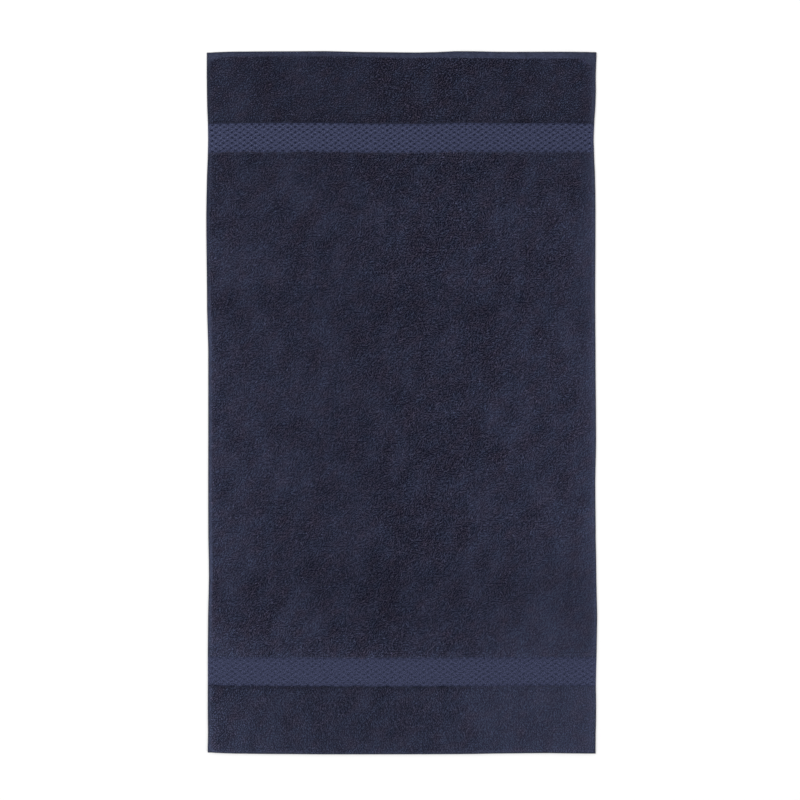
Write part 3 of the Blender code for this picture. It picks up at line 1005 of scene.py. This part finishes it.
def woven_cotton(name, dark, light, roughness, uneven, stretch=1.0, carried="tone"):
    """A flat weave. uneven is how far its threads' tones stray from 1, in spots stretched along the map."""
    material, tree, shader = cotton(name, roughness, sheen=0.05)
    cloth_place = add(tree, "ShaderNodeUVMap", uv_map="cloth").outputs["UV"]
    streaks = add(tree, "ShaderNodeMapping", {"Vector": cloth_place, "Scale": (1 / stretch, 1, 1)}).outputs[0]
    yarn = add(tree, "ShaderNodeTexNoise", {"Vector": streaks, "Scale": 1 / UNEVEN_SIZE, "Detail": 1})
    limits = {"From Min": NOISE_LOW, "From Max": NOISE_HIGH, "To Min": 1 - uneven, "To Max": 1 + uneven}
    yarn_tone = add(tree, "ShaderNodeMapRange", {"Value": yarn.outputs["Fac"], **limits}).outputs["Result"]
    tone = add(tree, "ShaderNodeAttribute", attribute_name=carried).outputs["Fac"]
    both = add(tree, "ShaderNodeMath", {0: tone, 1: yarn_tone}, operation="MULTIPLY").outputs[0]
    ends = {FACTOR: both, DARK: linear(dark), LIGHT: linear(light)}
    tree.links.new(add(tree, "ShaderNodeMix", ends, **COLOURS).outputs[BLEND], shader.inputs["Base Color"])
    fine = {"Vector": cloth_place, "Scale": STRAIGHT_REPEAT / THREAD_PITCH}
    ribs = [add(tree, "ShaderNodeTexWave", fine, bands_direction=way).outputs["Fac"] for way in "XY"]
    height = add(tree, "ShaderNodeMath", dict(enumerate(ribs)), operation="MULTIPLY").outputs[0]
    bump = {"Height": height, "Strength": THREAD_BUMP, "Distance": THREAD_HEIGHT}
    tree.links.new(add(tree, "ShaderNodeBump", bump).outputs["Normal"], shader.inputs["Normal"])
    return material


border_cotton = woven_cotton("flat_woven_cotton", "16192a", "464b67", 0.8, uneven=1.9)
hem_cotton = woven_cotton("rolled_hem_cotton", "14161f", "3d4258", 0.85, uneven=0.5, stretch=6)
# The ground seen between loops is darkened with painted shade, deeper where the pile is rough.
shaded_cotton = woven_cotton("ground_cotton_in_painted_shade", "0d0e1b", "484a64", 0.95, uneven=0.4, carried="gap_tone")
print("the woven cottons have", len(border_cotton.node_tree.nodes), "nodes each")

# %% Give each piece its material
for strip in pile:
    strip.data.materials.append(pile_cotton)
hem_stitches.data.materials.append(pile_cotton)
for material in (border_cotton, hem_cotton, shaded_cotton):
    sheet_mesh.materials.append(material)
kinds = np.where(covered, 2, np.where(in_border(face_along), 0, 1))
sheet_mesh.polygons.foreach_set("material_index", kinds.astype(np.int32))
print("faces of border, hem and covered cloth:", np.bincount(kinds))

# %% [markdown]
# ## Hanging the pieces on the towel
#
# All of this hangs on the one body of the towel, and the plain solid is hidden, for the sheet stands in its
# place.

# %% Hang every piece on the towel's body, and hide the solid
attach(ground_cloth, "root")
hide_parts("towel")
for piece in (*pile, hem_stitches):
    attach(piece, "root")
print("the towel has", len(pile) + 2, "pieces")

# %% [markdown]
# ## The studio
#
# A towel is photographed from straight above on a white table, under light that comes from all
# round. A pale floor, a bright sky and two large soft lights give that. The lights differ a little in
# strength, which is enough to bring out the relief of the pile without casting a shadow that shows.

# %% Lay the floor
FLOOR_REACH = 3.0  # metres from its middle to its sides

form = bmesh.new()
bmesh.ops.create_grid(form, x_segments=1, y_segments=1, size=FLOOR_REACH)
floor_mesh = bpy.data.meshes.new("floor")
form.to_mesh(floor_mesh)
form.free()
floor = put_in_scene("floor", floor_mesh)
matt_white = {"Base Color": linear("f2f2f2"), "Roughness": 0.9}
floor_mesh.materials.append(start_material("matt_white_paint", matt_white)[0])
print("the floor is", 2 * FLOOR_REACH, "m wide")

# %% Hang the lights
SKY_STRENGTH = 0.75
world = bpy.data.worlds.new("studio")
world.use_nodes = True
world.node_tree.nodes["Background"].inputs["Color"].default_value = linear("ffffff")
world.node_tree.nodes["Background"].inputs["Strength"].default_value = SKY_STRENGTH
bpy.context.scene.world = world


def softbox(name, spot, size, power):
    """A square light that points at the middle of the towel."""
    lamp = bpy.data.lights.new(name, "AREA")
    lamp.size = size
    lamp.energy = power
    holder = put_in_scene(name, lamp)
    holder.location = spot
    holder.rotation_euler = (-Vector(spot)).to_track_quat("-Z", "Y").to_euler()
    print(name, "hangs", round(Vector(spot).length, 1), "m from the towel")


softbox("left_softbox", spot=(-1.2, 1.0, 2.4), size=1.2, power=32)
softbox("right_softbox", spot=(1.4, -0.8, 2.4), size=1.2, power=14)

# %% Set up the camera
FRAME_WIDTH = 1.0314  # metres that the picture is wide, at the height of the hem
LENS, SENSOR = 85, 36
OFF_CENTRE = (-2.2 * MM, 3.5 * MM)  # the camera stands over this point of the towel

camera_data = bpy.data.cameras.new("camera")
camera_data.lens, camera_data.sensor_width = LENS, SENSOR
camera = put_in_scene("camera", camera_data)
camera.location = (*OFF_CENTRE, FRAME_WIDTH * LENS / SENSOR + HEM_MIDDLE)
bpy.context.scene.camera = camera
bpy.context.scene.view_settings.view_transform = "Standard"
print("the camera is", round(camera.location.z, 2), "m above the floor")
